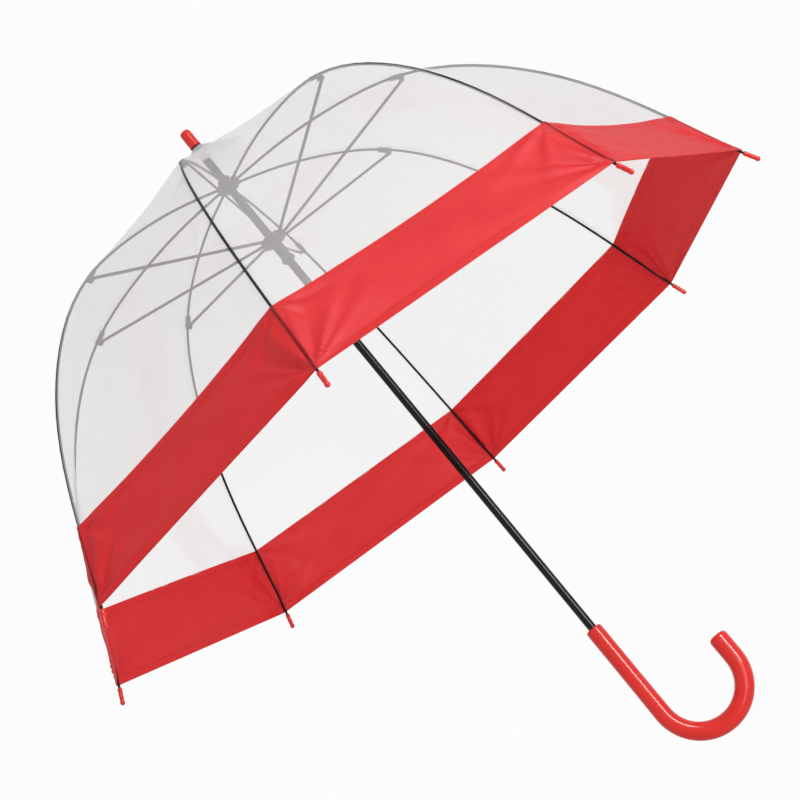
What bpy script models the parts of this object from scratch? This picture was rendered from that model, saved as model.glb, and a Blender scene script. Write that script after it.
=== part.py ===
"""Stick umbrella, stored open: clear dome canopy with a coloured border, eight ribs,
runner and stretchers, tubular shaft, crook handle.  Metres, +Z from handle to ferrule.
The origin is on the shaft axis in the middle of the hand grip."""
import bpy
import bmesh
import math
import numpy as np
from mathutils import Vector, Matrix

for _o in list(bpy.data.objects):
    bpy.data.objects.remove(_o, do_unlink=True)

# ------------------------------------------------------------------ driving dimensions
RIBS = 8
STEP = 2.0 * math.pi / RIBS
NOTCH_Z = 0.655            # height of the rib hinges above the grip

SHAFT_R, SHAFT_BORE = 0.0045, 0.0039
SHAFT_TOP, SHAFT_BOTTOM = NOTCH_Z + 0.0600, -0.0100

HANDLE_TOP, GRIP_R, HOOK_R = 0.0495, 0.0088, 0.0098
HANDLE_STRAIGHT, HOOK_BEND, HOOK_END = 0.107, 0.0445, 0.026
SOCKET_R, SOCKET_DEPTH = 0.0047, 0.061

FERRULE_R, FERRULE_TIP_R = 0.0066, 0.0058
FERRULE_BASE, FERRULE_END = NOTCH_Z + 0.0545, NOTCH_Z + 0.0766

HINGE_R, HINGE_Z = 0.0115, NOTCH_Z - 0.0030      # rib hinge in the top notch
CROWN_R = 0.0135
WIRE_R = 0.00035

# rib centre line, radius and height below the notch, from hinge to the end of the tip
RIB_LINE = [(0.0115, -0.003), (0.070, -0.0045), (0.140, -0.014), (0.214, -0.037),
            (0.300, -0.1055), (0.350, -0.1765), (0.390, -0.263), (0.420, -0.337),
            (0.429, -0.356)]
KNEE, BORDER, RIM = 3, 6, 7      # entries of RIB_LINE: bracket, border seam, border hem
RIB_R = 0.0014

CANOPY_LIFT = 0.0025       # inner face of the canopy above the rib centre line
CLEAR_T, BORDER_T, HEM_T = 0.0005, 0.0006, 0.0011
APEX_R, APEX_Z = 0.0052, NOTCH_Z + 0.0525

RUNNER_Z = NOTCH_Z - 0.0812     # height of the lower stretcher hinges when open
RUNNER_TRAVEL = 0.3308
RUNNER_R, RUNNER_FLANGE_R, RUNNER_BORE = 0.0060, 0.0135, 0.00475
RUNNER_HINGE_R = 0.0112
STRETCH_Y = 0.0036         # the stretchers run beside the ribs
STRETCH_T, STRETCH_H, EYE_R = 0.0020, 0.0026, 0.0019
PIN_DROP = 0.0044          # stretcher pin under the rib centre line

TIP_R, TIP_GAP = 0.0026, 0.0030
CATCH_Y = 0.0070


# ------------------------------------------------------------------ helpers
def material(name, color, rough, metallic=0.0, alpha=1.0, transmission=0.0):
    m = bpy.data.materials.new(name)
    m.use_nodes = True
    p = m.node_tree.nodes["Principled BSDF"]
    p.inputs["Base Color"].default_value = (*color, 1.0)
    p.inputs["Roughness"].default_value = rough
    p.inputs["Metallic"].default_value = metallic
    p.inputs["Alpha"].default_value = alpha
    p.inputs["Transmission Weight"].default_value = transmission
    return m


def add_object(name, bm, origin=(0, 0, 0), spin=0.0, look=None, smooth=True):
    """Turn a bmesh in the rib plane into an object turned about Z, with its own origin."""
    bmesh.ops.recalc_face_normals(bm, faces=bm.faces)
    o = Vector(origin)
    bmesh.ops.translate(bm, verts=bm.verts, vec=-o)
    me = bpy.data.meshes.new(name)
    bm.to_mesh(me)
    bm.free()
    turn = Matrix.Rotation(spin, 4, 'Z')
    me.transform(turn)
    for p in me.polygons:
        p.use_smooth = smooth
    ob = bpy.data.objects.new(name, me)
    ob.location = turn @ o
    bpy.context.scene.collection.objects.link(ob)
    if look:
        me.materials.append(material("mat_" + name, *look))
    return ob


def skin(bm, rings, closed_ends=True):
    """Skin between vertex rings, capped at both ends."""
    n = len(rings[0])
    for a, b in zip(rings, rings[1:]):
        for i in range(n):
            bm.faces.new((a[i], a[(i + 1) % n], b[(i + 1) % n], b[i]))
    if closed_ends:
        bm.faces.new(list(reversed(rings[0])))
        bm.faces.new(rings[-1])


def lathe(profile, sides):
    """Closed body of revolution about Z from a closed or axis-to-axis (r, z) profile."""
    bm = bmesh.new()
    rings = []
    for r, z in profile:
        if r < 1e-7:
            rings.append([bm.verts.new((0, 0, z))])
        else:
            rings.append([bm.verts.new((r * math.cos(2 * math.pi * k / sides),
                                        r * math.sin(2 * math.pi * k / sides), z))
                          for k in range(sides)])
    on_axis = len(rings[0]) == 1
    pairs = list(zip(rings, rings[1:]))
    if not on_axis:
        pairs.append((rings[-1], rings[0]))
    for a, b in pairs:
        for i in range(sides):
            j = (i + 1) % sides
            if len(a) == 1:
                bm.faces.new((a[0], b[j], b[i]))
            elif len(b) == 1:
                bm.faces.new((a[i], a[j], b[0]))
            else:
                bm.faces.new((a[i], a[j], b[j], b[i]))
    return bm


def box(bm, lo, hi):
    v = [bm.verts.new((x, y, z)) for x in (lo[0], hi[0]) for y in (lo[1], hi[1])
         for z in (lo[2], hi[2])]
    for f in ((0, 1, 3, 2), (4, 6, 7, 5), (0, 4, 5, 1), (2, 3, 7, 6), (0, 2, 6, 4), (1, 5, 7, 3)):
        bm.faces.new([v[i] for i in f])


def rod(bm, a, b, r, sides=12):
    """Cylinder from a to b."""
    a, b = Vector(a), Vector(b)
    q = (b - a).to_track_quat('Z', 'Y').to_matrix()
    rings = []
    for c in (a, b):
        rings.append([bm.verts.new(c + q @ Vector((r * math.cos(2 * math.pi * k / sides),
                                                   r * math.sin(2 * math.pi * k / sides), 0)))
                      for k in range(sides)])
    skin(bm, rings)


def cut(target, builders, operation='DIFFERENCE'):
    """Apply exact Booleans with temporary bodies, each made by a small function."""
    for make in builders:
        bm = bmesh.new()
        make(bm)
        bmesh.ops.recalc_face_normals(bm, faces=bm.faces)
        me = bpy.data.meshes.new("cutter")
        bm.to_mesh(me)
        bm.free()
        c = bpy.data.objects.new("cutter", me)
        c.hide_render = True
        c.display_type = 'WIRE'
        bpy.context.scene.collection.objects.link(c)
        m = target.modifiers.new("cut", 'BOOLEAN')
        m.operation, m.solver, m.object = operation, 'EXACT', c
        bpy.context.view_layer.update()
        dep = bpy.context.evaluated_depsgraph_get()
        new = bpy.data.meshes.new_from_object(target.evaluated_get(dep))
        target.modifiers.clear()
        old = target.data
        target.data = new
        bpy.data.meshes.remove(old)
        bpy.data.objects.remove(c, do_unlink=True)
        bpy.data.meshes.remove(me)
    bm = bmesh.new()
    bm.from_mesh(target.data)
    bmesh.ops.remove_doubles(bm, verts=bm.verts, dist=2e-6)
    bmesh.ops.dissolve_degenerate(bm, edges=bm.edges, dist=1e-6)
    bm.to_mesh(target.data)
    bm.free()


def natural_spline(points):
    """Smooth curve through the points, by chord length."""
    p = np.array(points, float)
    s = np.r_[0, np.cumsum(np.linalg.norm(np.diff(p, axis=0), axis=1))]
    n, h = len(s), np.diff(s)
    a = np.eye(n)
    b = np.zeros((n, 2))
    for i in range(1, n - 1):
        a[i, i - 1:i + 2] = h[i - 1], 2 * (h[i - 1] + h[i]), h[i]
        b[i] = 6 * ((p[i + 1] - p[i]) / h[i] - (p[i] - p[i - 1]) / h[i - 1])
    m = np.linalg.solve(a, b)

    def at(x):
        i = int(np.clip(np.searchsorted(s, x) - 1, 0, n - 2))
        u, v = x - s[i], s[i + 1] - x
        return ((m[i] * v ** 3 + m[i + 1] * u ** 3) / (6 * h[i])
                + (p[i] / h[i] - m[i] * h[i] / 6) * v + (p[i + 1] / h[i] - m[i + 1] * h[i] / 6) * u)
    return at, s


rib_at, RIB_S = natural_spline(RIB_LINE)


def rib_point(s, lift=0.0):
    """Point (x, z) on the rib line at length s, moved outwards by lift."""
    p = rib_at(s)
    t = rib_at(s + 1e-4) - rib_at(s - 1e-4) if 0 < s < RIB_S[-1] else \
        (rib_at(1e-4) - rib_at(0.0) if s <= 0 else rib_at(RIB_S[-1]) - rib_at(RIB_S[-1] - 1e-4))
    t = t / np.linalg.norm(t)
    n = np.array((-t[1], t[0]))
    q = p + lift * n
    return Vector((q[0], 0.0, NOTCH_Z + q[1])), Vector((t[0], 0, t[1])), Vector((n[0], 0, n[1]))


def rib_tube(bm, s0, s1, count, r, sides=10):
    rings = []
    for k in range(count + 1):
        p, t, n = rib_point(s0 + (s1 - s0) * k / count)
        rings.append([bm.verts.new(p + r * (math.cos(a) * n + math.sin(a) * Vector((0, 1, 0))))
                      for a in (2 * math.pi * (i + 0.5) / sides for i in range(sides))])
    skin(bm, rings)


def shift(p, t, n, x, y, z):
    return p + x * t + Vector((0, y, 0)) + z * n


# ------------------------------------------------------------------ looks
BLACK = ((0.015, 0.015, 0.017), 0.28, 0.6)
RED = ((0.75, 0.035, 0.03), 0.22)
CLOTH = ((0.68, 0.05, 0.06), 0.55)
CLEAR = ((0.93, 0.94, 0.95), 0.08, 0.0, 0.35, 0.6)
STEEL = ((0.55, 0.56, 0.58), 0.3, 1.0)
DARK = ((0.03, 0.03, 0.033), 0.4)


# ------------------------------------------------------------------ fixed pieces
def make_shaft():
    ob = add_object("shaft_tube", lathe([(SHAFT_R, SHAFT_BOTTOM), (SHAFT_R, SHAFT_TOP),
                                         (SHAFT_BORE, SHAFT_TOP), (SHAFT_BORE, SHAFT_BOTTOM)], 24),
                    look=BLACK)
    for z0, z1 in (catch_span(0), catch_span(1)):
        cut(ob, [lambda bm, a=z0, b=z1: box(bm, (-0.0009, 0.0, a - 0.0008), (0.0009, 0.006, b + 0.0008))])
    z = stop_z()
    cut(ob, [lambda bm: rod(bm, (-0.006, 0, z), (0.006, 0, z), 0.00095, 10)])


def stop_z():
    return RUNNER_Z + 0.0042 + 0.0016


def make_stop_pin():
    bm = bmesh.new()
    rod(bm, (-0.0066, 0, stop_z()), (0.0066, 0, stop_z()), 0.0008, 10)
    add_object("top_stop_pin", bm, (0, 0, stop_z()), look=STEEL)


def crook_path():
    """Centre line stations of the crook: point, direction and radius."""
    out = []
    zb = HANDLE_TOP - HANDLE_STRAIGHT
    for k, r in ((0.0, 0.93), (0.012, 0.99), (0.03, 1.0), (0.075, 1.0), (1.0, 1.04)):
        z = HANDLE_TOP - min(k, HANDLE_STRAIGHT)
        out.append((Vector((0, 0, z)), Vector((0, 0, -1)), GRIP_R * r))
    for k in range(1, 17):
        a = math.pi * k / 16
        c = Vector((HOOK_BEND * (1 - math.cos(a)), 0, zb - HOOK_BEND * math.sin(a)))
        r = GRIP_R * 1.04 + (HOOK_R - GRIP_R * 1.04) * min(1.0, k / 10)
        out.append((c, Vector((math.sin(a), 0, -math.cos(a))), r))
    for k, r in ((0.5, 1.0), (0.88, 0.99), (0.96, 0.9), (0.99, 0.72), (1.0, 0.45)):
        out.append((Vector((2 * HOOK_BEND, 0, zb + HOOK_END * k)), Vector((0, 0, 1)), HOOK_R * r))
    return out


def make_handle():
    bm = bmesh.new()
    sides = 20
    rings = []
    top = [(SOCKET_R, HANDLE_TOP - SOCKET_DEPTH), (SOCKET_R, HANDLE_TOP)]
    ang = [2 * math.pi * k / sides for k in range(sides)]
    for r, z in top:
        rings.append([bm.verts.new((r * math.cos(a), r * math.sin(a), z)) for a in ang])
    for p, d, r in crook_path():
        n = Vector((-d.z, 0, d.x))
        rings.append([bm.verts.new(p + r * (math.cos(a) * n + math.sin(a) * Vector((0, 1, 0))))
                      for a in ang])
    skin(bm, rings)
    add_object("crook_handle", bm, look=RED)


def make_ferrule():
    b, e = FERRULE_BASE, FERRULE_END
    add_object("ferrule_cap", lathe([
        (0.0, SHAFT_TOP + 0.0006), (0.0047, SHAFT_TOP + 0.0006), (0.0047, b), (FERRULE_R - 0.0005, b),
        (FERRULE_R, b + 0.0006), (FERRULE_TIP_R + 0.0003, e - 0.004), (FERRULE_TIP_R, e - 0.0022),
        (FERRULE_TIP_R - 0.0012, e - 0.0006), (FERRULE_TIP_R - 0.0024, e), (0.0, e)], 24), look=RED)


def make_washer():
    s = apex_slope()

    def z(r, d):
        return APEX_Z - s * (r - APEX_R) - d
    add_object("apex_washer", lathe([(0.0048, z(0.0048, 0.0006)), (0.0048, z(0.0048, 0.0026)),
                                     (0.0090, z(0.0090, 0.0018)), (0.0094, z(0.0094, 0.0010)),
                                     (0.0090, z(0.0090, 0.0006))], 24), look=DARK)


def make_crown():
    z0, z1 = HINGE_Z - 0.0036, HINGE_Z + 0.0032
    ob = add_object("top_notch", lathe([(0.00465, z0 - 0.003), (0.0070, z0 - 0.003), (0.0078, z0),
                                        (CROWN_R, z0), (CROWN_R, z1), (0.0078, z1),
                                        (0.0074, z1 + 0.006), (0.00465, z1 + 0.006)], 32), look=DARK)

    def slots(bm):
        for k in range(RIBS):
            sub = bmesh.new()
            box(sub, (0.0087, -0.0017, z0 - 0.001), (0.016, 0.0017, z1 + 0.001))
            sub.transform(Matrix.Rotation(k * STEP, 4, 'Z'))
            me = bpy.data.meshes.new("t")
            sub.to_mesh(me)
            sub.free()
            bm.from_mesh(me)
            bpy.data.meshes.remove(me)
    cut(ob, [slots, lambda bm: torus(bm, HINGE_R, 0.0006, HINGE_Z, 32, 6)])


def torus(bm, big, small, z, n, m):
    rings = []
    for i in range(n):
        a = 2 * math.pi * (i + 0.5) / n
        rings.append([bm.verts.new(((big + small * math.cos(b)) * math.cos(a),
                                    (big + small * math.cos(b)) * math.sin(a), z + small * math.sin(b)))
                      for b in (2 * math.pi * j / m for j in range(m))])
    rings.append(rings[0])
    skin(bm, rings, closed_ends=False)


def make_wire():
    bm = bmesh.new()
    torus(bm, HINGE_R, WIRE_R, HINGE_Z, 64, 6)
    add_object("notch_wire", bm, (0, 0, HINGE_Z), look=STEEL)


def make_runner():
    z, lo = RUNNER_Z, RUNNER_Z - 0.0288
    ob = add_object("runner", lathe([
        (RUNNER_BORE, lo), (0.0074, lo), (0.0076, lo + 0.001), (0.0074, lo + 0.0034),
        (RUNNER_R, lo + 0.0046), (RUNNER_R, z - 0.0060), (0.0078, z - 0.0042),
        (RUNNER_FLANGE_R - 0.0006, z - 0.0042), (RUNNER_FLANGE_R, z - 0.0036),
        (RUNNER_FLANGE_R, z + 0.0030), (RUNNER_FLANGE_R - 0.0006, z + 0.0036),
        (0.0078, z + 0.0036), (0.0070, z + 0.0042), (RUNNER_BORE, z + 0.0042)], 32),
        (0, 0, z), look=DARK)

    def slots(bm):
        for k in range(RIBS):
            sub = bmesh.new()
            box(sub, (0.0088, STRETCH_Y - 0.0013, z - 0.008), (0.017, STRETCH_Y + 0.0013, z + 0.008))
            sub.transform(Matrix.Translation((0, 0, -z)) @ Matrix.Rotation(k * STEP, 4, 'Z'))
            me = bpy.data.meshes.new("t")
            sub.to_mesh(me)
            sub.free()
            bm.from_mesh(me)
            bpy.data.meshes.remove(me)
        bmesh.ops.translate(bm, verts=bm.verts, vec=(0, 0, z))
    cut(ob, [slots])


def catch_span(i):
    """Height span of the upper and the lower catch."""
    if i == 0:
        top = RUNNER_Z - 0.0288 - 0.0006
        return top - 0.020, top
    bottom = RUNNER_Z - RUNNER_TRAVEL + 0.0042 + 0.0006
    return bottom, bottom + 0.020


def make_catch(i, name):
    """Sprung wedge in a slot of the shaft: a shelf for the runner, and a ramp to pass it."""
    z0, z1 = catch_span(i)
    shelf, ramp = (z1, z0) if i == 0 else (z0, z1)
    d = 1 if i == 0 else -1
    pts = [(0.0012, shelf), (CATCH_Y, shelf), (CATCH_Y, shelf - d * 0.0016),
           (0.0046, ramp + d * 0.0004), (0.0012, ramp + d * 0.0004)]
    bm = bmesh.new()
    a = [bm.verts.new((-0.0006, y, z)) for y, z in pts]
    b = [bm.verts.new((0.0006, y, z)) for y, z in pts]
    skin(bm, [a, b])
    add_object(name, bm, (0, 0.003, (z0 + z1) / 2), look=STEEL, smooth=False)


# ------------------------------------------------------------------ pieces of each rib
def make_rib_upper(k):
    bm = bmesh.new()
    rib_tube(bm, -0.0016, RIB_S[KNEE] - 0.0040, 12, RIB_R)
    ob = add_object("rib_upper_%d" % (k + 1), bm, look=BLACK)
    cut(ob, [lambda b: rod(b, (HINGE_R, -0.003, HINGE_Z), (HINGE_R, 0.003, HINGE_Z), 0.0006, 8)])
    place(ob, (HINGE_R, 0, HINGE_Z), k)


def make_rib_lower(k):
    bm = bmesh.new()
    rib_tube(bm, RIB_S[KNEE] - 0.0014, RIB_S[RIM] + TIP_GAP + 0.0070, 20, RIB_R)
    ob = add_object("rib_lower_%d" % (k + 1), bm, look=BLACK)
    p, t, n = rib_point(RIB_S[KNEE])
    cut(ob, [lambda b: rod(b, p - Vector((0, 0.003, 0)), p + Vector((0, 0.003, 0)), 0.0007, 8)])
    place(ob, p, k)


def place(ob, origin, k):
    """Move a piece's origin onto its hinge, then turn it to its rib."""
    o = Vector(origin)
    turn = Matrix.Rotation(k * STEP, 4, 'Z')
    ob.data.transform(turn @ Matrix.Translation(-o))
    ob.location = turn @ o
    for q in ob.data.polygons:
        q.use_smooth = True


def knee_box(bm, lo, hi):
    p, t, n = rib_point(RIB_S[KNEE])
    v = [bm.verts.new(shift(p, t, n, x, y, z)) for x in (lo[0], hi[0]) for y in (lo[1], hi[1])
         for z in (lo[2], hi[2])]
    for f in ((0, 1, 3, 2), (4, 6, 7, 5), (0, 4, 5, 1), (2, 3, 7, 6), (0, 2, 6, 4), (1, 5, 7, 3)):
        bm.faces.new([v[i] for i in f])


def knee_pin():
    p, t, n = rib_point(RIB_S[KNEE])
    return p - PIN_DROP * n


def make_bracket(k):
    bm = bmesh.new()
    knee_box(bm, (-0.012, -0.0023, -0.0029), (0.0034, 0.0023, 0.0010))
    ob = add_object("rib_bracket_%d" % (k + 1), bm, look=DARK)
    p, t, n = rib_point(RIB_S[KNEE])
    q = knee_pin()
    cut(ob, [lambda b: knee_box(b, (-0.014, -0.0017, -0.0022), (0.006, 0.0017, 0.003))])
    cut(ob, [lambda b: knee_box(b, (-0.0026, -0.0021, -0.0062), (0.0026, 0.0021, -0.0026)),
             lambda b: rod(b, p - Vector((0, 0.0021, 0)), p + Vector((0, 0.0021, 0)), 0.00055, 8),
             lambda b: rod(b, q + Vector((0, 0.0019, 0)), q + Vector((0, 0.0051, 0)), 0.0007, 8),
             lambda b: rod(b, q + Vector((0, 0.0049, 0)), q + Vector((0, 0.0054, 0)), 0.0013, 10)],
        'UNION')
    place(ob, (HINGE_R, 0, HINGE_Z), k)
    for f in ob.data.polygons:
        f.use_smooth = False


def bar(bm, a, b, y0, y1, half):
    """Flat bar with round ends between two points of the rib plane."""
    a, b = Vector(a), Vector(b)
    d = (b - a).normalized()
    n = Vector((-d.z, 0, d.x))
    out = []
    w = math.asin(half / EYE_R)
    for c, sign in ((a, -1), (b, 1)):
        for i in range(9):
            f = (math.pi - w) * (2 * i / 8 - 1)
            out.append(c + EYE_R * sign * (math.cos(f) * d + math.sin(f) * n))
    lo = [bm.verts.new(v + Vector((0, y0, 0))) for v in out]
    hi = [bm.verts.new(v + Vector((0, y1, 0))) for v in out]
    skin(bm, [lo, hi])


def make_stretcher(k):
    bm = bmesh.new()
    q = knee_pin()
    r = Vector((RUNNER_HINGE_R, 0, RUNNER_Z))
    bar(bm, r, q, STRETCH_Y - STRETCH_T / 2, STRETCH_Y + STRETCH_T / 2, STRETCH_H / 2)
    ob = add_object("stretcher_%d" % (k + 1), bm, look=BLACK)
    cut(ob, [lambda b: rod(b, q + Vector((0, 0.001, 0)), q + Vector((0, 0.007, 0)), 0.00085, 8)])
    place(ob, q, k)
    for f in ob.data.polygons:
        f.use_smooth = False


def make_tip(k):
    """Moulded tip with a blind socket for the rib end."""
    bm = bmesh.new()
    s0, s1 = RIB_S[RIM] + TIP_GAP, RIB_S[-1]
    sides = 12
    rings = []
    spec = [(s0 + 0.0078, 0.00155), (s0, 0.00155), (s0, 0.0023), (s0 + 0.0010, TIP_R),
            (s0 + 0.0095, TIP_R), (s1 - 0.0052, 0.0023), (s1 - 0.0042, 0.0026), (s1 - 0.0014, 0.0026),
            (s1 - 0.0003, 0.0018), (s1, 0.0008)]
    for s, r in spec:
        p, t, n = rib_point(s)
        rings.append([bm.verts.new(p + r * (math.cos(a) * n + math.sin(a) * Vector((0, 1, 0))))
                      for a in (2 * math.pi * i / sides for i in range(sides))])
    skin(bm, rings)
    ob = add_object("rib_tip_%d" % (k + 1), bm, look=RED)
    place(ob, rib_point(RIB_S[KNEE])[0], k)


# ------------------------------------------------------------------ canopy
CONE = [(0.022, 0.0405), (0.042, 0.0275), (0.062, 0.0150), (0.080, 0.0052), (0.096, -0.0018)]


def apex_slope():
    return (APEX_Z - NOTCH_Z - CONE[0][1]) / (CONE[0][0] - APEX_R)


def canopy_rows():
    """Rows of the canopy's inner face at the ribs: radius, height, outward normal, flatness."""
    rows = [(APEX_R, APEX_Z, 0.0)] + [(r, NOTCH_Z + z, i / 5) for i, (r, z) in enumerate(CONE)]
    s0 = float(np.interp(0.116, [p[0] for p in RIB_LINE], RIB_S))
    s1 = RIB_S[BORDER] - 0.0006
    for i in range(20):
        p, t, n = rib_point(s0 + (s1 - s0) * i / 19, CANOPY_LIFT)
        rows.append((p.x, p.z, 1.0))
    out = []
    for i, (r, z, c) in enumerate(rows):
        a = rows[max(i - 1, 0)]
        b = rows[min(i + 1, len(rows) - 1)]
        t = Vector((b[0] - a[0], b[1] - a[1])).normalized()
        out.append((r, z, (-t.y, t.x), c))
    return out


def make_dome():
    bm = bmesh.new()
    rows = canopy_rows()
    cols = 2 * RIBS

    def ring(r, z, c):
        v = []
        for k in range(cols):
            f = r if k % 2 == 0 else r * (1 - c * (1 - math.cos(STEP / 2)))
            a = k * STEP / 2
            v.append(bm.verts.new((f * math.cos(a), f * math.sin(a), z)))
        return v
    inner = [ring(r, z, c) for r, z, n, c in rows]
    outer = [ring(r + CLEAR_T * n[0], z + CLEAR_T * n[1], c) for r, z, n, c in rows]
    loop = inner + outer[::-1] + [inner[0]]
    skin(bm, loop, closed_ends=False)
    add_object("canopy_clear", bm, (0, 0, NOTCH_Z), look=CLEAR)


def make_border(k):
    """One border panel from rib to rib, with a thicker fold at its top and bottom edge."""
    s0, s1 = RIB_S[BORDER], RIB_S[RIM]
    rows = [(0.0, HEM_T), (0.0060, HEM_T), (0.0064, BORDER_T), (0.5, BORDER_T), (-0.0084, BORDER_T),
            (-0.0080, HEM_T), (0.0, HEM_T)]
    stations = [s0, s0 + 0.0060, s0 + 0.0064, (s0 + s1) / 2, s1 - 0.0084, s1 - 0.0080, s1]
    section = []
    for s in (s0, (s0 + s1) / 2, s1):
        section.append(rib_point(s, CANOPY_LIFT)[0])
    for s, (_, th) in reversed(list(zip(stations, rows))):
        section.append(rib_point(s, CANOPY_LIFT + th)[0])
    bm = bmesh.new()
    a0, gap = k * STEP, 0.00025
    rings = []
    for f in (0.0, 0.25, 0.5, 0.75, 1.0):
        ring = []
        for p in section:
            a = Matrix.Rotation(a0, 3, 'Z') @ Vector((p.x, gap, p.z))
            b = Matrix.Rotation(a0 + STEP, 3, 'Z') @ Vector((p.x, -gap, p.z))
            ring.append(bm.verts.new(a.lerp(b, f)))
        rings.append(ring)
    skin(bm, rings)
    o = Matrix.Rotation(a0, 3, 'Z') @ rib_point(RIB_S[KNEE])[0]
    add_object("border_panel_%d" % (k + 1), bm, o, look=CLOTH, smooth=False)


make_shaft()
make_stop_pin()
make_handle()
make_ferrule()
make_washer()
make_crown()
make_wire()
make_runner()
make_catch(0, "top_catch")
make_catch(1, "bottom_catch")
make_dome()
for rib in range(RIBS):
    make_rib_upper(rib)
    make_rib_lower(rib)
    make_bracket(rib)
    make_stretcher(rib)
    make_tip(rib)
    make_border(rib)
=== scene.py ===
import math
import bpy
import bmesh
import numpy as np
from mathutils import Vector, Matrix, Quaternion


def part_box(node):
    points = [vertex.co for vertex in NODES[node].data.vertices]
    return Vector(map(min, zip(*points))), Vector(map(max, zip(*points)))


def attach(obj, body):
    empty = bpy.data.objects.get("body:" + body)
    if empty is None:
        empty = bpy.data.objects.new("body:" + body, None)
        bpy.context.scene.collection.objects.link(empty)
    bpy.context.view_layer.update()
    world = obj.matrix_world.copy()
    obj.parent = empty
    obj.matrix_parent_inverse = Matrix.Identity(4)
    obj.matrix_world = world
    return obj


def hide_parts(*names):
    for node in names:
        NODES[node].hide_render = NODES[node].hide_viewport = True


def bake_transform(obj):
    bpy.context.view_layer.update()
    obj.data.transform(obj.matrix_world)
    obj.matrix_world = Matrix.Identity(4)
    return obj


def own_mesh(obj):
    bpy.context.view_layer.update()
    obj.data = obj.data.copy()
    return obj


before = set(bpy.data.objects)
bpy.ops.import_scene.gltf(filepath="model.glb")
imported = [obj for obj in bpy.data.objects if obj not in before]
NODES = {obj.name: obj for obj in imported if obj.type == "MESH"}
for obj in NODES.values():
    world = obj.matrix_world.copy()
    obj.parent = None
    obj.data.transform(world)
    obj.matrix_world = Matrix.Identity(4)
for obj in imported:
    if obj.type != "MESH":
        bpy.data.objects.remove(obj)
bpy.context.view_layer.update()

RIBS, STEP = 8, math.pi / 4

# ------------------------------------------------------------------ places, from the frame
# Rib and canopy points are (distance from the shaft's axis, height above the notch), in metres.
NOTCH_Z = 0.655
RIB_LINE = [(0.0115, -0.003), (0.070, -0.0045), (0.140, -0.014), (0.214, -0.037),
            (0.300, -0.1055), (0.350, -0.1765), (0.390, -0.263), (0.420, -0.337),
            (0.429, -0.356)]
KNEE, BORDER, RIM = 3, 6, 7     # points of the rib line: flex joint, top of the cloth, hem
CONE = [(0.022, 0.0405), (0.042, 0.0275), (0.062, 0.0150), (0.080, 0.0052), (0.096, -0.0010)]
APEX = (0.0054, 0.0530)
FILM_LIFT = 0.0017
HANDLE_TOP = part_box("crook_handle")[1].z
HANDLE_STRAIGHT, HOOK_BEND, HOOK_END = 0.107, 0.0445, 0.026
GRIP_R, HOOK_R = 0.0088, 0.0098
TIP_GAP = 0.0030


def natural_spline(points):
    p = np.array(points, float)
    s = np.r_[0, np.cumsum(np.linalg.norm(np.diff(p, axis=0), axis=1))]
    n, h = len(s), np.diff(s)
    a = np.eye(n)
    b = np.zeros((n, 2))
    for i in range(1, n - 1):
        a[i, i - 1:i + 2] = h[i - 1], 2 * (h[i - 1] + h[i]), h[i]
        b[i] = 6 * ((p[i + 1] - p[i]) / h[i] - (p[i] - p[i - 1]) / h[i - 1])
    m = np.linalg.solve(a, b)

    def at(x):
        i = int(np.clip(np.searchsorted(s, x) - 1, 0, n - 2))
        u, v = x - s[i], s[i + 1] - x
        return ((m[i] * v ** 3 + m[i + 1] * u ** 3) / (6 * h[i])
                + (p[i] / h[i] - m[i] * h[i] / 6) * v + (p[i + 1] / h[i] - m[i + 1] * h[i] / 6) * u)
    return at, s


rib_at, RIB_S = natural_spline(RIB_LINE)


def rib_frame(s, lift=0.0):
    """Point, direction and outward normal of the rib line at length s, as (r, z) pairs."""
    p = rib_at(s)
    e = 1e-4
    a, b = rib_at(max(s - e, 0.0)), rib_at(min(s + e, RIB_S[-1]))
    t = (b - a) / np.linalg.norm(b - a)
    n = np.array((-t[1], t[0]))
    return p + lift * n, t, n


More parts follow.
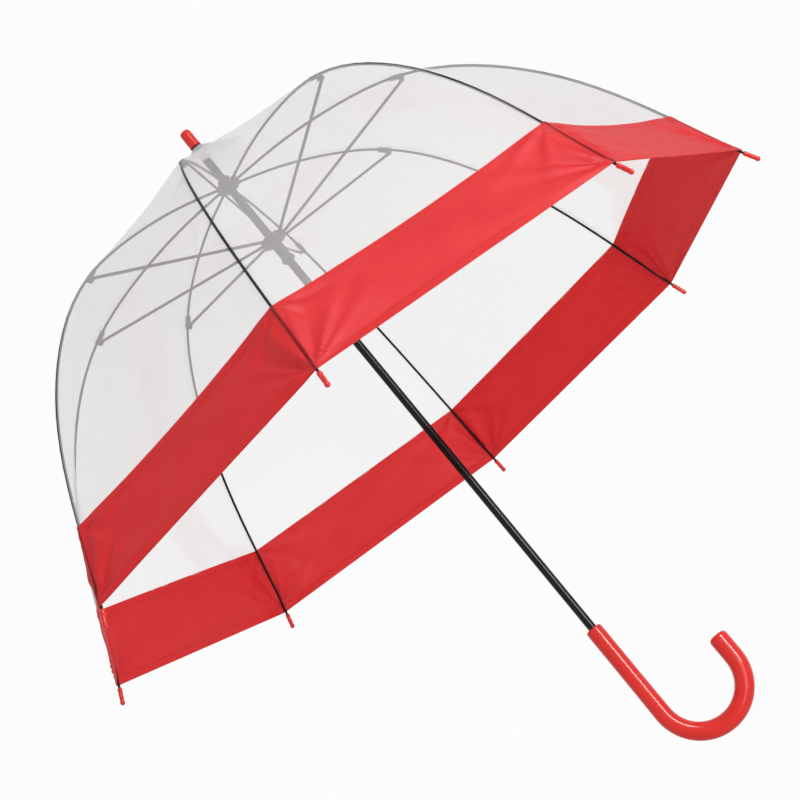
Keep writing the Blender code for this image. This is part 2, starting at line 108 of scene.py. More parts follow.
# ------------------------------------------------------------------ material tools
class Mat:
    """A node material built by small steps."""

    def __init__(self, name):
        self.m = bpy.data.materials.new(name)
        self.m.use_nodes = True
        self.t = self.m.node_tree
        self.t.nodes.clear()
        self.out = self.t.nodes.new("ShaderNodeOutputMaterial")

    def node(self, kind, **values):
        n = self.t.nodes.new("ShaderNode" + kind)
        for k, v in values.items():
            if hasattr(n, k) and k not in n.inputs:
                setattr(n, k, v)
            else:
                self.set(n.inputs[k.replace("_", " ")], v)
        return n

    def set(self, socket, v):
        if isinstance(v, bpy.types.NodeSocket):
            self.t.links.new(v, socket)
        else:
            socket.default_value = v

    def put(self, n, key, v):
        self.set(n.inputs[key], v)

    def noise(self, vector, scale, detail=4.0, rough=0.55, distort=0.0):
        n = self.node("TexNoise", Scale=scale, Detail=detail, Roughness=rough, Distortion=distort)
        self.put(n, "Vector", vector)
        return n.outputs["Fac"]

    def coords(self, scale=(1, 1, 1)):
        c = self.node("TexCoord")
        m = self.node("Mapping", Scale=scale)
        self.put(m, "Vector", c.outputs["Object"])
        return m.outputs["Vector"]

    def uv(self, scale=(1, 1, 1)):
        c = self.node("UVMap")
        m = self.node("Mapping", Scale=scale)
        self.put(m, "Vector", c.outputs["UV"])
        return m.outputs["Vector"]

    def ramp(self, fac, stops):
        r = self.node("ValToRGB")
        e = r.color_ramp.elements
        while len(e) > len(stops):
            e.remove(e[-1])
        while len(e) < len(stops):
            e.new(1.0)
        for el, (p, c) in zip(e, stops):
            el.position = p
            el.color = c if len(c) == 4 else (*c, 1)
        self.put(r, "Fac", fac)
        return r.outputs["Color"]

    def math(self, op, a, b=0.0, clamp=False):
        n = self.node("Math", operation=op)
        n.use_clamp = clamp
        self.set(n.inputs[0], a)
        self.set(n.inputs[1], b)
        return n.outputs[0]

    def range(self, v, a, b, c, d):
        n = self.node("MapRange")
        self.put(n, "Value", v)
        self.put(n, "From Min", a)
        self.put(n, "From Max", b)
        self.put(n, "To Min", c)
        self.put(n, "To Max", d)
        return n.outputs["Result"]

    def mix(self, fac, a, b, mode="MIX"):
        n = self.node("Mix", data_type="RGBA", blend_type=mode)
        self.set(n.inputs[0], fac)
        self.set(n.inputs[6], a)
        self.set(n.inputs[7], b)
        return n.outputs[2]

    def bump(self, height, strength, distance, normal=None):
        n = self.node("Bump", Strength=strength, Distance=distance)
        self.put(n, "Height", height)
        if normal is not None:
            self.put(n, "Normal", normal)
        return n.outputs["Normal"]

    def principled(self, **v):
        p = self.node("BsdfPrincipled")
        for k, x in v.items():
            self.put(p, k.replace("_", " "), x)
        return p

    def finish(self, shader):
        self.put(self.out, "Surface", shader)
        return self.m


def rgb(r, g, b):
    return (r, g, b, 1.0)


STITCH_ROW, WEAVE_SCALE, STITCHES_PER_M = 0.0082, 1150.0, 310.0


def mat_black_steel(name, rough, base=0.010, lacquer=(0.12, 1.5, 0.12)):
    """Black lacquered steel with slightly worn patches. lacquer is its weight, IOR and roughness."""
    m = Mat(name)
    wear = m.noise(m.coords((60, 60, 18)), 1.0, 6.0, 0.7)
    col = m.mix(m.range(wear, 0.62, 0.80, 0.0, 1.0), rgb(base * 0.6, base * 0.6, base * 0.65),
                rgb(base * 2.4, base * 2.4, base * 2.6))
    r = m.range(wear, 0.3, 0.8, rough, rough + 0.10)
    p = m.principled(Base_Color=col, Roughness=r, Specular_IOR_Level=0.10, Coat_Weight=lacquer[0],
                     Coat_IOR=lacquer[1], Coat_Roughness=lacquer[2])
    return m.finish(p.outputs[0])


def mat_red_plastic(name, rough=0.20):
    """Glossy moulded plastic with faint flow marks and scuffs."""
    m = Mat(name)
    flow = m.noise(m.coords((14, 14, 5)), 1.0, 5.0, 0.5, 0.6)
    col = m.ramp(flow, [(0.25, (0.56, 0.014, 0.010)), (0.75, (0.64, 0.020, 0.014))])
    scuff = m.noise(m.coords((90, 90, 30)), 1.0, 7.0, 0.75)
    r = m.range(scuff, 0.5, 0.85, rough, rough + 0.16)
    p = m.principled(Base_Color=col, Roughness=r, Specular_IOR_Level=0.25, Coat_Weight=0.22,
                     Coat_Roughness=0.12)
    return m.finish(p.outputs[0])


def mat_dark_plastic(name):
    """Dark, finely grained moulded plastic."""
    m = Mat(name)
    grain = m.noise(m.coords(), 1600.0, 3.0)
    tone = m.noise(m.coords(), 60.0, 4.0)
    col = m.ramp(tone, [(0.3, (0.018, 0.018, 0.020)), (0.7, (0.032, 0.032, 0.035))])
    p = m.principled(Base_Color=col, Roughness=m.range(tone, 0.3, 0.7, 0.36, 0.5),
                     Specular_IOR_Level=0.35, Normal=m.bump(grain, 0.12, 0.0002))
    return m.finish(p.outputs[0])


def mat_steel(name):
    """Bright brushed spring steel."""
    m = Mat(name)
    brushed = m.noise(m.coords((400, 400, 4000)), 1.0, 3.0)
    p = m.principled(Base_Color=m.ramp(brushed, [(0.2, (0.42, 0.43, 0.45)), (0.8, (0.62, 0.63, 0.65))]),
                     Metallic=1.0, Roughness=m.range(brushed, 0.2, 0.8, 0.22, 0.42))
    return m.finish(p.outputs[0])


def mat_film(name):
    """Clear flexible film: mostly see-through, a faint milky scatter, and a soft gloss.
    The seam attribute is 1 at the weld over a rib, which scatters less, and below 0 where the
    film is gathered at the apex, which scatters more."""
    m = Mat(name)
    seam = m.node("Attribute", attribute_name="seam").outputs["Fac"]
    cloud = m.noise(m.coords((5, 5, 3)), 1.0, 4.0, 0.55, 0.4)
    streak = m.noise(m.uv((9, 260, 1)), 1.0, 4.0, 0.6)
    haze = m.math("ADD", m.range(cloud, 0.3, 0.7, 0.40, 0.45), m.range(streak, 0.35, 0.8, -0.004, 0.008))
    weld = m.range(seam, 0.15, 0.85, 0.0, 1.0)
    haze = m.math("MULTIPLY", haze, m.range(weld, 0.0, 1.0, 1.0, 0.12), clamp=True)
    haze = m.math("ADD", haze, m.range(seam, -1.0, -0.05, 0.42, 0.0), clamp=True)
    ripple = m.noise(m.uv((26, 7, 1)), 1.0, 3.0, 0.5, 0.8)
    n = m.bump(ripple, 0.15, 0.002)
    clear = m.node("BsdfTransparent", Color=rgb(0.955, 0.953, 0.953))
    back = m.node("BsdfTranslucent", Color=rgb(0.93, 0.922, 0.925))
    front = m.principled(Base_Color=rgb(0.92, 0.912, 0.915), Roughness=0.5, Specular_IOR_Level=0.05,
                         Normal=n)
    soft = m.node("MixShader", Fac=0.30)
    m.put(soft, 1, back.outputs[0])
    m.put(soft, 2, front.outputs[0])
    body = m.node("MixShader")
    m.put(body, 0, haze)
    m.put(body, 1, clear.outputs[0])
    m.put(body, 2, soft.outputs[0])
    gloss = m.node("BsdfGlossy", Color=rgb(1, 1, 1), Roughness=0.16)
    m.put(gloss, "Normal", n)
    fres = m.node("Fresnel", IOR=1.35)
    m.put(fres, "Normal", n)
    top = m.node("MixShader")
    m.put(top, 0, m.math("MULTIPLY", fres.outputs[0], 0.10, clamp=True))
    m.put(top, 1, body.outputs[0])
    m.put(top, 2, gloss.outputs[0])
    return m.finish(top.outputs[0])


def mat_cloth(name):
    """Coated woven cloth: fine weave, soft sheen, folded hems with a line of stitches.
    UV is in metres: U along the hem, V up from the hem."""
    m = Mat(name)
    uv = m.node("UVMap").outputs["UV"]
    sep = m.node("SeparateXYZ")
    m.put(sep, 0, uv)
    u = sep.outputs[0]
    wx = m.node("TexWave", wave_type="BANDS", bands_direction="X", Scale=WEAVE_SCALE, Distortion=0.6)
    wy = m.node("TexWave", wave_type="BANDS", bands_direction="Y", Scale=WEAVE_SCALE, Distortion=0.6)
    m.put(wx, "Vector", uv)
    m.put(wy, "Vector", uv)
    weave = m.math("MAXIMUM", wx.outputs["Fac"], wy.outputs["Fac"])
    tone = m.noise(m.uv((14, 26, 1)), 1.0, 5.0, 0.55, 0.5)
    slub = m.noise(m.uv((900, 40, 1)), 1.0, 2.0)
    base = m.ramp(tone, [(0.25, (0.68, 0.030, 0.036)), (0.75, (0.74, 0.040, 0.046))])
    base = m.mix(m.range(slub, 0.4, 0.8, 0.0, 0.18), base, rgb(0.50, 0.014, 0.020))
    # stitch rows 8.2 mm in from each fold
    h = m.node("Attribute", attribute_name="hem").outputs["Fac"]
    off = m.math("ABSOLUTE", m.math("SUBTRACT", h, STITCH_ROW))
    row = m.math("SUBTRACT", 1.0, m.math("MULTIPLY", off, 1800.0), clamp=True)
    dash = m.math("GREATER_THAN", m.math("FRACT", m.math("MULTIPLY", u, STITCHES_PER_M)), 0.30)
    stitch = m.math("MULTIPLY", row, dash)
    hem = m.range(h, 0.0060, 0.0090, 1.0, 0.0)
    base = m.mix(m.math("MULTIPLY", hem, 0.55), base, rgb(0.70, 0.030, 0.028))
    base = m.mix(m.math("MULTIPLY", stitch, 0.7), base, rgb(0.34, 0.010, 0.015))
    # painted shade: within about 2 mm of each rib the cloth is drawn near black, partly a dark seam line and
    # partly the rib's shadow seen through the cloth
    rib = m.node("Attribute", attribute_name="rib").outputs["Fac"]
    base = m.mix(m.range(rib, 0.0009, 0.0022, 0.72, 0.0), base, rgb(0.10, 0.004, 0.006))
    n1 = m.bump(weave, 0.22, 0.0002)
    n2 = m.bump(m.noise(m.uv((60, 120, 1)), 1.0, 4.0), 0.12, 0.0012, n1)
    n3 = m.bump(stitch, 0.5, 0.0004, n2)
    p = m.principled(Base_Color=base, Roughness=m.range(tone, 0.3, 0.7, 0.44, 0.52),
                     Specular_IOR_Level=0.26, Sheen_Weight=0.01, Sheen_Roughness=0.4,
                     Normal=n3)
    back = m.node("BsdfTranslucent", Color=rgb(0.95, 0.045, 0.060))
    mx = m.node("MixShader", Fac=0.36)
    m.put(mx, 1, p.outputs[0])
    m.put(mx, 2, back.outputs[0])
    return m.finish(mx.outputs[0])


BLACK = mat_black_steel("gloss_black_steel", 0.26, 0.006, lacquer=(0.30, 1.5, 0.10))
BLACK_RIB = mat_black_steel("rib_black_steel", 0.26)
STRETCHER = mat_black_steel("stretcher_black_steel", 0.30, 0.030)
RED = mat_red_plastic("red_moulded_plastic")
DARK = mat_dark_plastic("dark_moulded_plastic")
STEEL = mat_steel("bright_spring_steel")
FILM = mat_film("clear_film")
CLOTH = mat_cloth("red_coated_cloth")


# ------------------------------------------------------------------ mesh tools
def new_object(name, bm, mat, smooth=True):
    """Object from a finished bmesh."""
    me = bpy.data.meshes.new(name)
    bmesh.ops.recalc_face_normals(bm, faces=bm.faces)
    bm.to_mesh(me)
    bm.free()
    for p in me.polygons:
        p.use_smooth = smooth
    ob = bpy.data.objects.new(name, me)
    bpy.context.scene.collection.objects.link(ob)
    me.materials.append(mat)
    return ob


def skin(bm, rings):
    """Closed tube through rings of equal size."""
    n = len(rings[0])
    for a, b in zip(rings, rings[1:]):
        for i in range(n):
            bm.faces.new((a[i], a[(i + 1) % n], b[(i + 1) % n], b[i]))
    bm.faces.new(list(reversed(rings[0])))
    bm.faces.new(rings[-1])


def grid_object(name, points, mat, uvs=None, attrs=None):
    """Sheet from a rows x cols array of points, with UVs and point attributes of the same layout."""
    rows, cols, _ = points.shape
    idx = np.arange(rows * cols).reshape(rows, cols)
    f = np.stack([idx[:-1, :-1], idx[1:, :-1], idx[1:, 1:], idx[:-1, 1:]], -1).reshape(-1, 4)
    me = bpy.data.meshes.new(name)
    me.from_pydata(points.reshape(-1, 3).tolist(), [], f.tolist())
    if uvs is not None:
        layer = me.uv_layers.new(name="UVMap")
        loops = np.zeros(len(me.loops), np.int32)
        me.loops.foreach_get("vertex_index", loops)
        layer.data.foreach_set("uv", uvs.reshape(-1, 2)[loops].astype(np.float32).ravel())
    for key, val in (attrs or {}).items():
        a = me.attributes.new(key, "FLOAT", "POINT")
        a.data.foreach_set("value", val.reshape(-1).astype(np.float32))
    me.polygons.foreach_set("use_smooth", [True] * len(me.polygons))
    me.materials.append(mat)
    ob = bpy.data.objects.new(name, me)
    bpy.context.scene.collection.objects.link(ob)
    return ob


# ------------------------------------------------------------------ canopy
FILM_SAG, CONE_END_R = 0.0070, 0.070
FILM_ROWS, FILM_STEPS, CLOTH_STEPS = 74, 12, 38
CLOTH_LIFT = FILM_LIFT + 0.0003
CLOTH_HALF_THICK, HEM_EXTRA, HEM_DEPTH = 0.00022, 0.00034, 0.0072


def film_rows():
    """(length along the canopy, r, z, flatness) of each row, from the apex to the border."""
    s0 = float(np.interp(0.116, [p[0] for p in RIB_LINE], RIB_S))
    body = [tuple(rib_frame(s, FILM_LIFT)[0]) for s in np.linspace(s0, RIB_S[BORDER], 34)]
    at, s = natural_spline([APEX] + CONE + body)
    return [(x, *at(x), float(np.clip((at(x)[0] - 0.02) / 0.08, 0, 1))) for x in np.linspace(0, s[-1], FILM_ROWS)]


ROWS = film_rows()
ROW_R = np.array([r[1] for r in ROWS])
CONE_ROW = int(np.argmin(abs(ROW_R - CONE_END_R)))
KNEE_ROW = int(np.argmin(abs(ROW_R - rib_frame(RIB_S[KNEE], FILM_LIFT)[0][0])))


def across(half, steps):
    """Distances from a rib to the middle of the gore, close together by the rib."""
    seam = np.minimum((0.0, 0.0009, 0.0016, 0.0022), np.array((0.0, 0.08, 0.16, 0.26)) * half)
    return np.r_[seam, np.linspace(seam[-1], half, steps + 1)[1:]]


def polar(r, z, ang):
    """Point at distance r from the axis, height z above the notch, and angle ang."""
    return np.array((r * math.cos(ang), r * math.sin(ang), NOTCH_Z + z))


def grid_normals(P):
    """Unit normals of a grid of points, facing out of the dome."""
    n = np.cross(np.gradient(P, axis=1), np.gradient(P, axis=0))
    n /= np.maximum(np.linalg.norm(n, axis=2, keepdims=True), 1e-12)
    mid = P - np.array((0, 0, 0.3))
    if (n * mid).sum(2).mean() < 0:
        n = -n
    return n


def film_gore(k):
    """The whole clear gore from rib k to the next, as a grid of points with normals and seam strength."""
    a0, a1 = k * STEP, (k + 1) * STEP
    mid = (a0 + a1) / 2
    cols = 2 * len(across(1.0, FILM_STEPS)) - 1
    P, A, U = (np.zeros((len(ROWS), cols, n)) for n in (3, 1, 2))
    for i, (x, r, z, flat) in enumerate(ROWS):
        half = r * math.sin(STEP / 2)
        d = across(half, FILM_STEPS)
        t = np.r_[d - half, (half - d[::-1])[1:]]
        deep = FILM_SAG * flat * math.sin(0.5 * math.pi * min(1.0, max(0.0, x - 0.08) / 0.30))
        for j, q in enumerate(t):
            u = (q / half + 1) / 2
            chord = polar(r, z, a0) * (1 - u) + polar(r, z, a1) * u
            round_ = polar(r, z, a0 + STEP * u)
            slack = deep * (1 - (q / half) ** 2) + 0.0004 * flat * math.sin(q * 90 + x * 37 + k)
            slack += 0.0003 * flat * (1 - (q / half) ** 2) * math.sin(q * 230 - x * 61 + 2 * k)
            P[i, j] = chord * flat + round_ * (1 - flat) - slack * np.array((math.cos(mid), math.sin(mid), 0.3))
            U[i, j] = q + 0.5, x
            near = half - abs(q)
            P[i, j, 2] += 0.0009 * math.sin(12 * math.pi * u) * math.exp(-((r - 0.022) / 0.018) ** 2)
            A[i, j] = float(near < 0.0017) * float(r > 0.085) - max(0.0, 1 - max(0.0, r - 0.030) / 0.040)
    return P, grid_normals(P), A[..., 0], U


FOLDS = [(7.0, 0.0017), (12.0, 0.0012), (21.0, 0.00055)]    # folds per radian of fan, and height


def cloth_height(x, up, L, half, seed):
    """How far the border cloth stands off its flat chord: folds that fan out of the corners."""
    d = 0.0
    for side in (-1, 1):
        dx = half + side * x
        for y, weight, turn in ((up, 1.0, 0.0), (L - up, 0.45, 1.9)):
            rho = math.hypot(dx, y) + 1e-6
            th = math.atan2(y, dx)
            fan = min(1.0, rho / 0.016) * math.exp(-max(0.0, rho - 0.03) / 0.060)
            for m, amp in FOLDS:
                d += weight * amp * fan * math.sin(m * th + seed * (1.3 + side * 0.7) + turn * m + rho * 9 * side)
    calm = min(1.0, (half - abs(x)) / 0.005)
    d += 0.00035 * math.sin(x * 55 + up * 120 + seed * 2) * math.sin(math.pi * up / L)
    d += 0.00022 * math.sin(x * 140 - up * 75 + seed * 5) * math.sin(math.pi * up / L)
    return d * calm * min(1.0, 0.25 + min(up, L - up) / 0.014)


def border_gore(k):
    """The whole cloth panel from rib k to the next: outer and inner points, with folded hems."""
    a0, a1 = k * STEP, (k + 1) * STEP
    mid = (a0 + a1) / 2
    s0, s1 = RIB_S[BORDER] - 0.001, RIB_S[RIM]
    L = s1 - s0
    ss = s0 + L * np.r_[0, 0.02, 0.05, 0.08, 0.095, 0.112, 0.13,
                        np.linspace(0.16, 0.84, 26), 0.87, 0.888, 0.905, 0.92, 0.95, 0.98, 1]
    cols = 2 * len(across(1.0, CLOTH_STEPS)) - 1
    O, I, U = (np.zeros((len(ss), cols, n)) for n in (3, 3, 2))
    H = np.zeros((len(ss), cols, 2))
    for i, s in enumerate(ss):
        (r, z), _, n2 = rib_frame(s, CLOTH_LIFT)
        half = r * math.sin(STEP / 2)
        d = across(half, CLOTH_STEPS)
        up, hem = s1 - s, min(s - s0, s1 - s)
        thick = CLOTH_HALF_THICK + HEM_EXTRA * (1 - min(1.0, max(0.0, (hem - HEM_DEPTH) / 0.0012)))
        flat_n = np.array((math.cos(mid) * n2[0], math.sin(mid) * n2[0], n2[1]))
        for j, q in enumerate(np.r_[d - half, (half - d[::-1])[1:]]):
            u = (q / half + 1) / 2
            p = polar(r, z, a0) * (1 - u) + polar(r, z, a1) * u
            deep = FILM_SAG * (1 - (q / half) ** 2) * (up / L) ** 1.3
            p = p - deep * np.array((math.cos(mid), math.sin(mid), 0.3))
            p = p + flat_n * cloth_height(q, up, L, half, 1.7 * k + 0.6)
            O[i, j], I[i, j] = p + flat_n * thick, p - flat_n * thick
            U[i, j] = q + 0.5, up
            H[i, j] = hem, half - abs(q)
    return O, I, U, H


def sheet_object(name, P, N, mat, U, attrs):
    """One open sheet with its own normals, so neighbours shade as one surface."""
    ob = grid_object(name, P, mat, U, attrs)
    me = ob.data
    poly = me.polygons[len(me.polygons) // 2]
    if Vector(N.reshape(-1, 3)[poly.vertices[0]]).dot(poly.normal) < 0:
        me.flip_normals()
    loops = np.zeros(len(me.loops), np.int32)
    me.loops.foreach_get("vertex_index", loops)
    me.normals_split_custom_set(N.reshape(-1, 3)[loops].tolist())
    return ob


def cloth_object(name, O, I, U, H, NO):
    """A closed cloth piece: outer and inner faces, rounded hem edges, and closed ends."""
    top = (O[0] + I[0]) / 2 + 0.0003 * (O[0] - O[1]) / np.linalg.norm(O[0] - O[1], axis=1, keepdims=True)
    low = (O[-1] + I[-1]) / 2 + 0.0003 * (O[-1] - O[-2]) / np.linalg.norm(O[-1] - O[-2], axis=1, keepdims=True)
    ntop = top - (O[0] + I[0]) / 2
    nlow = low - (O[-1] + I[-1]) / 2
    P = np.concatenate([top[None], O, low[None], I[::-1]])
    N = np.concatenate([ntop[None], NO, nlow[None], -NO[::-1]])
    N = N / np.linalg.norm(N, axis=2, keepdims=True)
    UU = np.concatenate([U[:1], U, U[-1:], U[::-1]])
    HH = np.concatenate([H[:1], H, H[-1:], H[::-1]])
    m, n, _ = P.shape
    rows = len(O)
    idx = np.arange(m * n).reshape(m, n)
    faces = []
    for i in range(m):
        a, b = idx[i], idx[(i + 1) % m]
        faces += [(a[j], b[j], b[j + 1], a[j + 1]) for j in range(n - 1)]
    side = len(faces)
    for j, rev in ((0, False), (n - 1, True)):
        ring = [(idx[0, j], idx[1, j], idx[m - 1, j])]
        ring += [(idx[i, j], idx[i + 1, j], idx[m - i - 1, j], idx[m - i, j]) for i in range(1, rows)]
        ring += [(idx[rows, j], idx[rows + 1, j], idx[rows + 2, j])]
        faces += [tuple(reversed(f)) if not rev else f for f in ring]
    me = bpy.data.meshes.new(name)
    me.from_pydata(P.reshape(-1, 3).tolist(), [], [tuple(int(v) for v in f) for f in faces])
    poly = me.polygons[(rows // 2) * (n - 1) + n // 2]
    flip = Vector(N.reshape(-1, 3)[poly.vertices[0]]).dot(poly.normal) < 0
    if flip:
        me.flip_normals()
    loops = np.zeros(len(me.loops), np.int32)
    me.loops.foreach_get("vertex_index", loops)
    normals = N.reshape(-1, 3)[loops]
    for p in me.polygons[side:]:
        normals[p.loop_start:p.loop_start + p.loop_total] = np.array(p.normal)
    layer = me.uv_layers.new(name="UVMap")
    layer.data.foreach_set("uv", UU.reshape(-1, 2)[loops].astype(np.float32).ravel())
    for key, c in (("hem", 0), ("rib", 1)):
        at = me.attributes.new(key, "FLOAT", "POINT")
        at.data.foreach_set("value", HH[..., c].reshape(-1).astype(np.float32))
    me.polygons.foreach_set("use_smooth", [True] * len(me.polygons))
    me.normals_split_custom_set(normals.tolist())
    me.materials.append(CLOTH)
    ob = bpy.data.objects.new(name, me)
    bpy.context.scene.collection.objects.link(ob)
    return ob


def lay(ob, k, side, n, anchor, keep):
    """Give a half gore a mesh of its own; it is not gathered onto its rib."""
    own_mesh(ob)


# Half-gore numbers handed to lay: direction across the rib, a point on the rib, share of width kept.
UPPER = ((-0.032, 0.993, -0.112), (0.150, -0.0165), 0.10)
LOWER = ((-0.268, 0.946, -0.181), (0.330, -0.148), 0.07)
CONES = {k: [] for k in range(RIBS)}
for k in range(RIBS):
    P, N, A, U = film_gore(k)
    O, I, UB, H = border_gore(k)
    NB = grid_normals(O)
    half = P.shape[1] // 2
    halfb = O.shape[1] // 2
    for rib, side, c, cb in ((k, 1, slice(0, half + 1), slice(0, halfb + 1)),
                             ((k + 1) % RIBS, -1, slice(half, None), slice(halfb, None))):
        tag = "%d%s" % (rib + 1, "a" if side > 0 else "b")
        up, lo = slice(CONE_ROW, KNEE_ROW + 1), slice(KNEE_ROW, None)
        upper = sheet_object("clear_gore_top_" + tag, P[up, c], N[up, c], FILM, U[up, c], {"seam": A[up, c]})
        lower = sheet_object("clear_gore_side_" + tag, P[lo, c], N[lo, c], FILM, U[lo, c], {"seam": A[lo, c]})
        band = cloth_object("border_cloth_" + tag, O[:, cb], I[:, cb], UB[:, cb], H[:, cb], NB[:, cb])
        for ob, body, slot, how in ((upper, "rib_%d_upper", "clear_sheet", UPPER),
                                    (lower, "rib_%d_lower", "clear_sheet", LOWER),
                                    (band, "rib_%d_lower", "red_cloth", LOWER)):
            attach(ob, body % (rib + 1))
            lay(ob, rib, side, *how)
        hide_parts("border_panel_%d" % (k + 1))
        co = slice(0, CONE_ROW + 1)
        CONES[rib].append((side, P[co, c], N[co, c], U[co, c], A[co, c]))
for k, parts in CONES.items():
    minus, plus = sorted(parts, key=lambda e: e[0])
    P, N, U, A = (np.concatenate([minus[i], plus[i][:, 1:]], axis=1) for i in (1, 2, 3, 4))
    cone = sheet_object("clear_cone_%d" % (k + 1), P, N, FILM, U, {"seam": A})
    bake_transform(cone)
    if k == 0:
        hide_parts("canopy_clear")


# ------------------------------------------------------------------ crook handle, ferrule, tips
def crook_stations():
    """(centre, direction, radius) down the grip, round the bend and up to the rounded end."""
    out = []
    zb = HANDLE_TOP - HANDLE_STRAIGHT
    for d, r in ((0.0, 0.78), (0.0003, 0.86), (0.0009, 0.93), (0.002, 0.975), (0.004, 0.995), (0.008, 1.0),
                 (0.03, 1.0), (0.06, 1.0), (0.085, 1.01), (HANDLE_STRAIGHT, 1.03)):
        out.append((Vector((0, 0, HANDLE_TOP - d)), Vector((0, 0, -1)), GRIP_R * r))
    for i in range(1, 41):
        a = math.pi * i / 40
        r = GRIP_R * 1.03 + (HOOK_R - GRIP_R * 1.03) * min(1.0, i / 26)
        out.append((Vector((HOOK_BEND * (1 - math.cos(a)), 0, zb - HOOK_BEND * math.sin(a))),
                    Vector((math.sin(a), 0, -math.cos(a))), r))
    for f in np.linspace(0.1, 1.0, 22):
        d = HOOK_END * f
        left = HOOK_END - d
        cap = 1.0 if left > 0.0050 else 1 - 0.42 * (1 - math.sqrt(max(0.0, 1 - ((0.0050 - left) / 0.0050) ** 2)))
        out.append((Vector((2 * HOOK_BEND, 0, zb + d)), Vector((0, 0, 1)), max(HOOK_R * cap, 0.0008)))
    return out


def make_crook():
    bm = bmesh.new()
    sides = 48
    rings = []
    top = HANDLE_TOP
    for r, z in ((0.00468, top - 0.0605), (0.00468, top - 0.0010), (0.0052, top)):
        rings.append([bm.verts.new((r * math.cos(a), r * math.sin(a), z))
                      for a in (2 * math.pi * i / sides for i in range(sides))])
    for p, d, r in crook_stations():
        n = Vector((-d.z, 0, d.x))
        rings.append([bm.verts.new(p + r * (math.cos(a) * n + math.sin(a) * Vector((0, 1, 0))))
                      for a in (2 * math.pi * i / sides for i in range(sides))])
    skin(bm, rings)
    ob = new_object("crook_grip", bm, RED)
    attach(ob, "shaft")
    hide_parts("crook_handle")


def lathe(name, profile, mat, sides=48):
    """Turned solid from (radius, height) pairs that start and end on the axis."""
    bm = bmesh.new()
    rings = []
    for r, z in profile:
        if r < 1e-7:
            rings.append([bm.verts.new((0, 0, z))])
        else:
            rings.append([bm.verts.new((r * math.cos(a), r * math.sin(a), z))
                          for a in (2 * math.pi * i / sides for i in range(sides))])
    for a, b in zip(rings, rings[1:]):
        for i in range(sides):
            j = (i + 1) % sides
            if len(a) == 1:
                bm.faces.new((a[0], b[j], b[i]))
            elif len(b) == 1:
                bm.faces.new((a[i], a[j], b[0]))
            else:
                bm.faces.new((a[i], a[j], b[j], b[i]))
    return new_object(name, bm, mat)


def make_ferrule():
    b, e = NOTCH_Z + 0.0546, NOTCH_Z + 0.0766
    prof = [(0.0, NOTCH_Z + 0.0604), (0.0046, NOTCH_Z + 0.0604), (0.0046, b), (0.0060, b), (0.0064, b + 0.0003),
            (0.0066, b + 0.0008), (0.0066, b + 0.0018), (0.0063, b + 0.0024), (0.00625, b + 0.0032),
            (0.0062, e - 0.006)]
    for i in range(9):
        a = math.pi / 2 * i / 8
        prof.append((0.0034 + 0.0027 * math.cos(a), e - 0.0032 + 0.0032 * math.sin(a)))
    prof.append((0.0, e))
    ob = lathe("ferrule_moulding", prof, RED)
    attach(ob, "shaft")
    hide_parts("ferrule_cap")


def make_tip(k):
    s0, s1 = RIB_S[RIM] + TIP_GAP, RIB_S[-1]
    turn = Matrix.Rotation(k * STEP, 3, 'Z')
    L = s1 - s0
    spec = [(s0 + 0.0078, 0.00152), (s0 + 0.0004, 0.00152), (s0, 0.0017), (s0, 0.0021), (s0 + 0.0003, 0.00238),
            (s0 + 0.0009, 0.0025), (s0 + 0.0032, 0.00255), (s0 + 0.0038, 0.0022), (s0 + 0.0046, 0.00215),
            (s0 + 0.0052, 0.00245), (s0 + 0.0100, 0.0024), (s1 - 0.0052, 0.0022), (s1 - 0.0046, 0.0024)]
    for i in range(8):
        a = math.pi / 2 * i / 7
        spec.append((s1 - 0.0026 + 0.0026 * math.sin(a), max(0.0003, 0.00262 * math.cos(a))))
    bm = bmesh.new()
    rings = []
    for s, r in spec:
        p, t, n = rib_frame(min(s, s1))
        c = Vector((p[0], 0, NOTCH_Z + p[1]))
        nn = Vector((n[0], 0, n[1]))
        rings.append([bm.verts.new(turn @ (c + r * (math.cos(a) * nn + math.sin(a) * Vector((0, 1, 0)))))
                      for a in (2 * math.pi * i / 28 for i in range(28))])
    skin(bm, rings)
    ob = new_object("tip_moulding_%d" % (k + 1), bm, RED)
    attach(ob, "rib_%d_lower" % (k + 1))
    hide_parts("rib_tip_%d" % (k + 1))


make_crook()
make_ferrule()
for k in range(RIBS):
    make_tip(k)


# ------------------------------------------------------------------ looks of the CAD nodes that stay
def smooth_group(limit):
    """Geometry nodes that join the facets and shade them smooth below an edge angle."""
    g = bpy.data.node_groups.new("smooth_below_angle", "GeometryNodeTree")
    g.interface.new_socket("Geometry", in_out="INPUT", socket_type="NodeSocketGeometry")
    g.interface.new_socket("Geometry", in_out="OUTPUT", socket_type="NodeSocketGeometry")
    new, link = g.nodes.new, g.links.new
    start, end = new("NodeGroupInput"), new("NodeGroupOutput")
    merge = new("GeometryNodeMergeByDistance")
    merge.inputs["Distance"].default_value = 1e-5
    drop = new("GeometryNodeRemoveAttribute")
    drop.inputs["Name"].default_value = "custom_normal"
    angle = new("GeometryNodeInputMeshEdgeAngle")
    sharp = new("FunctionNodeCompare")
    sharp.data_type, sharp.operation = "FLOAT", "GREATER_THAN"
    sharp.inputs["B"].default_value = limit
    faces, edges = new("GeometryNodeSetShadeSmooth"), new("GeometryNodeSetShadeSmooth")
    faces.domain, edges.domain = "FACE", "EDGE"
    edges.inputs["Shade Smooth"].default_value = False
    link(start.outputs[0], merge.inputs["Geometry"])
    link(merge.outputs[0], drop.inputs["Geometry"])
    link(drop.outputs[0], faces.inputs["Geometry"])
    link(faces.outputs[0], edges.inputs["Geometry"])
    link(angle.outputs["Unsigned Angle"], sharp.inputs["A"])
    link(sharp.outputs[0], edges.inputs["Selection"])
    link(edges.outputs[0], end.inputs[0])
    return g


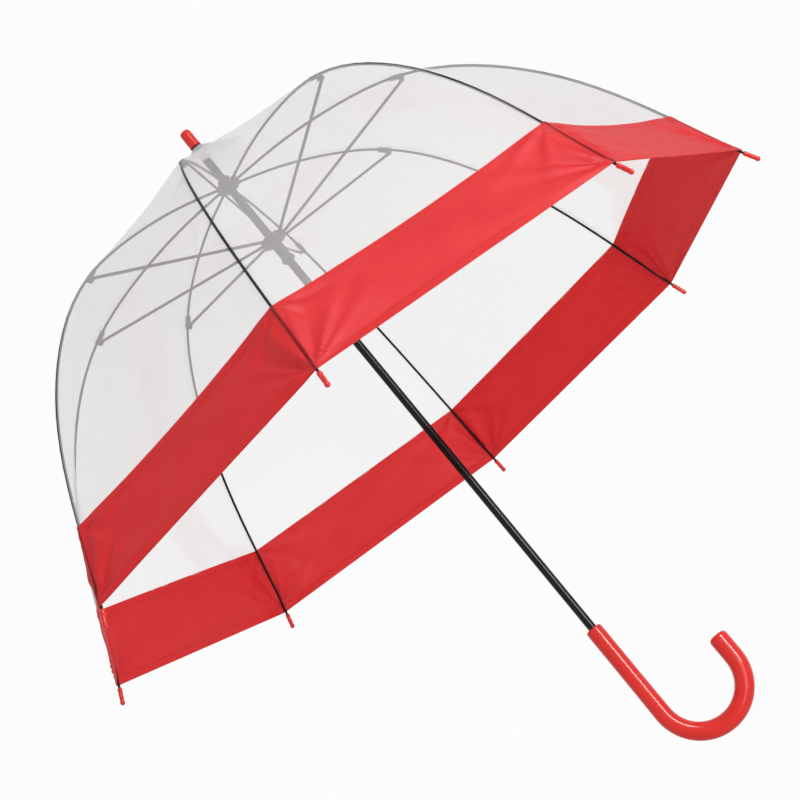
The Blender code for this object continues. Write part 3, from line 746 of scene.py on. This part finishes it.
SMOOTH = smooth_group(math.radians(38))
for name, ob in NODES.items():
    if name.startswith(("rib_upper", "rib_lower", "stretcher")):
        mat = BLACK_RIB if name.startswith("rib") else STRETCHER
    elif name == "shaft_tube":
        mat = BLACK
    elif name in ("notch_wire", "top_stop_pin", "top_catch", "bottom_catch"):
        mat = STEEL
    else:
        mat = DARK
    ob.data.materials.clear()
    ob.data.materials.append(mat)
    ob.modifiers.new("smooth", "NODES").node_group = SMOOTH

# ------------------------------------------------------------------ floor, light, camera
scene = bpy.context.scene
scene.view_settings.view_transform = "Standard"
world = bpy.data.worlds.new("studio")
scene.world = world
world.use_nodes = True
wt = world.node_tree
bg = wt.nodes["Background"]
bg.inputs[1].default_value = 1.0
side = wt.nodes.new("ShaderNodeVectorMath")
side.operation = "DOT_PRODUCT"
side.inputs[1].default_value = (-0.10, 0.97, 0.22)
where = wt.nodes.new("ShaderNodeTexCoord")
wt.links.new(where.outputs["Generated"], side.inputs[0])
ease = wt.nodes.new("ShaderNodeMapRange")
ease.interpolation_type = "SMOOTHSTEP"
for key, value in (("From Min", -0.1), ("From Max", 0.86), ("To Min", 0.72), ("To Max", 0.975)):
    ease.inputs[key].default_value = value
wt.links.new(side.outputs["Value"], ease.inputs["Value"])
wt.links.new(ease.outputs["Result"], bg.inputs[0])

FLOOR_RADIUS, FLOOR_Z = 3.2, -1.5
fl = Mat("pale_floor")
grain = fl.noise(fl.coords(), 30.0, 3.0)
FLOOR = fl.finish(fl.principled(Base_Color=fl.ramp(grain, [(0.3, (0.70, 0.70, 0.70)), (0.7, (0.73, 0.73, 0.73))]),
                                Roughness=0.7, Specular_IOR_Level=0.1).outputs[0])
bm = bmesh.new()
bmesh.ops.create_circle(bm, cap_ends=True, segments=96, radius=FLOOR_RADIUS)
floor = new_object("floor", bm, FLOOR, smooth=False)
floor.location = (0.0, 0.0, FLOOR_Z)

CAM_AT = Vector((0.17865, -1.90776, -0.09598))
CAM_TURN = Quaternion((0.5929, 0.7252, 0.29824, -0.1833))


def area(name, direction, distance, size, power, target=(0, 0, 0.35), size_y=None):
    """An area light placed by a direction in the camera's own axes: right, up, towards the camera."""
    d = CAM_TURN @ Vector(direction).normalized()
    light = bpy.data.lights.new(name, 'AREA')
    light.energy = power
    light.shape = 'RECTANGLE'
    light.size, light.size_y = size, size_y or size
    ob = bpy.data.objects.new(name, light)
    ob.location = Vector(target) + d * distance
    ob.rotation_mode = 'QUATERNION'
    ob.rotation_quaternion = d.to_track_quat('Z', 'Y')
    scene.collection.objects.link(ob)
    return ob


def tall_area(name, direction, width, length, power):
    """An area light 2 m away, with its long side along the shaft."""
    ob = area(name, direction, 2.0, width, power, target=(0.02, 0, 0.2), size_y=length)
    back = (CAM_TURN @ Vector(direction)).normalized()
    tall = (Vector((0, 0, 1)) - back * back.z).normalized()
    ob.rotation_quaternion = Matrix((tall.cross(back), tall, back)).transposed().to_quaternion()
    return ob


tall_area("key", (0.27, 0.66, 0.70), 0.30, 1.7, 18.5)
area("fill", (0.35, 0.05, 0.93), 2.4, 1.2, 14.0)
strip = tall_area("strip", (0.23, 0.70, 0.67), 0.34, 1.9, 46.0)    # seen only as gloss
strip.visible_diffuse = False
strip.visible_transmission = False

cam_data = bpy.data.cameras.new("camera")
cam = bpy.data.objects.new("camera", cam_data)
cam_data.sensor_width = 36.0
cam_data.lens = 86.37
cam_data.shift_x, cam_data.shift_y = -0.0065, -0.0101
cam_data.clip_start, cam_data.clip_end = 0.05, 50.0
cam.location = CAM_AT
cam.rotation_mode = 'QUATERNION'
cam.rotation_quaternion = CAM_TURN
scene.collection.objects.link(cam)
scene.camera = cam
